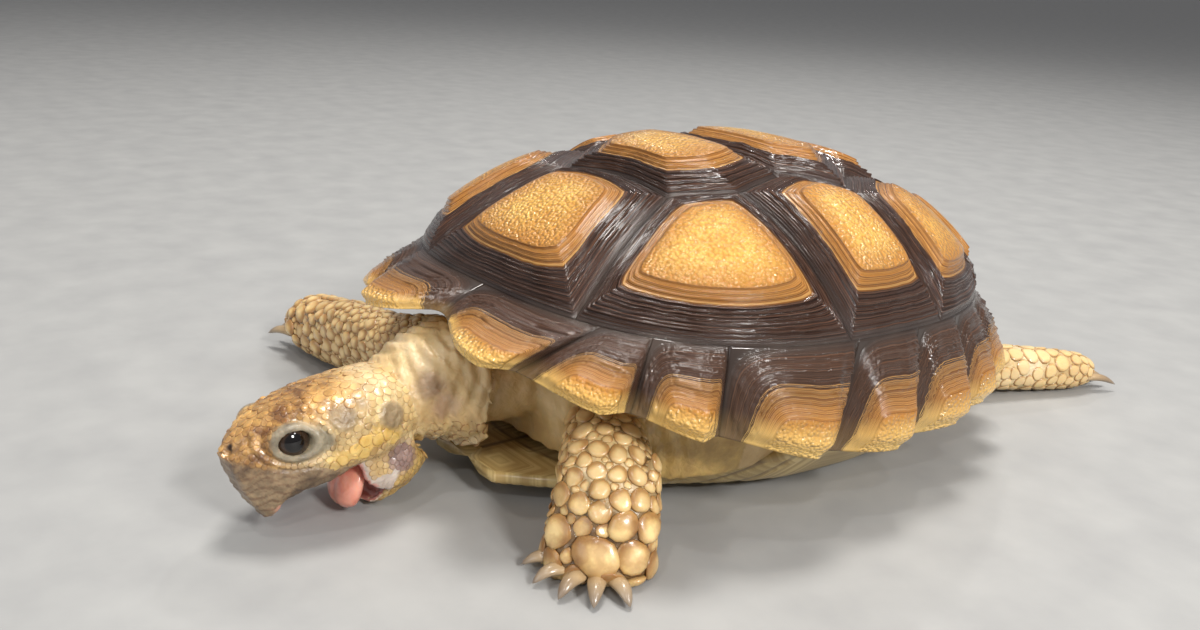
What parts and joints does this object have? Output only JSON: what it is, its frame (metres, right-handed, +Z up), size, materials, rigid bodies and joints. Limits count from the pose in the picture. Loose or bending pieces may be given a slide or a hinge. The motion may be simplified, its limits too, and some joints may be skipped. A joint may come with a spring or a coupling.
{
  "type": "sulcata tortoise",
  "caption": "Juvenile tortoise, life size and still: domed shell of stepped, ringed scutes, head low with open mouth and tongue, forelegs apart, one hind leg stretched back.",
  "frame": {"origin": "on the floor, under the middle of the animal's bounding box", "axes": "-Y the way the animal faces, +X its left side, +Z up"},
  "size_m": [0.1164, 0.166, 0.0481],
  "materials": {
    "carapace_horn": "wet, golden tan centres stepping down to dark brown growth rings",
    "marginal_horn": "wet, dark rings with golden tan lower corners",
    "plastron_horn": "satin, olive yellow",
    "skin": "dry to damp scaly skin, cream to golden tan",
    "tongue": "moist, salmon pink",
    "eye": "wet, nearly black"
  },
  "bodies": {
    "root": {"scute_v1": "carapace_horn", "scute_v2": "carapace_horn", "scute_v3": "carapace_horn", "scute_v4": "carapace_horn", "scute_v5": "carapace_horn", "scute_c1_left": "carapace_horn", "scute_c1_right": "carapace_horn", "scute_c2_left": "carapace_horn", "scute_c2_right": "carapace_horn", "scute_c3_left": "carapace_horn", "scute_c3_right": "carapace_horn", "scute_c4_left": "carapace_horn", "scute_c4_right": "carapace_horn", "marginal_01_left": "marginal_horn", "marginal_01_right": "marginal_horn", "marginal_02_left": "marginal_horn", "marginal_02_right": "marginal_horn", "marginal_03_left": "marginal_horn", "marginal_03_right": "marginal_horn", "marginal_04_left": "marginal_horn", "marginal_04_right": "marginal_horn", "marginal_05_left": "marginal_horn", "marginal_05_right": "marginal_horn", "marginal_06_left": "marginal_horn", "marginal_06_right": "marginal_horn", "marginal_07_left": "marginal_horn", "marginal_07_right": "marginal_horn", "marginal_08_left": "marginal_horn", "marginal_08_right": "marginal_horn", "marginal_09_left": "marginal_horn", "marginal_09_right": "marginal_horn", "marginal_10_left": "marginal_horn", "marginal_10_right": "marginal_horn", "marginal_11_left": "marginal_horn", "marginal_11_right": "marginal_horn", "supracaudal": "marginal_horn", "plastron": "plastron_horn", "trunk": "skin", "neck": "skin", "head": "skin", "lower_jaw": "skin", "foreleg_left": "skin", "foreleg_right": "skin", "hindleg_left": "skin", "hindleg_right": "skin", "tail": "skin", "tongue": "tongue", "eye_left": "eye", "eye_right": "eye"}
  },
  "joints": []
}
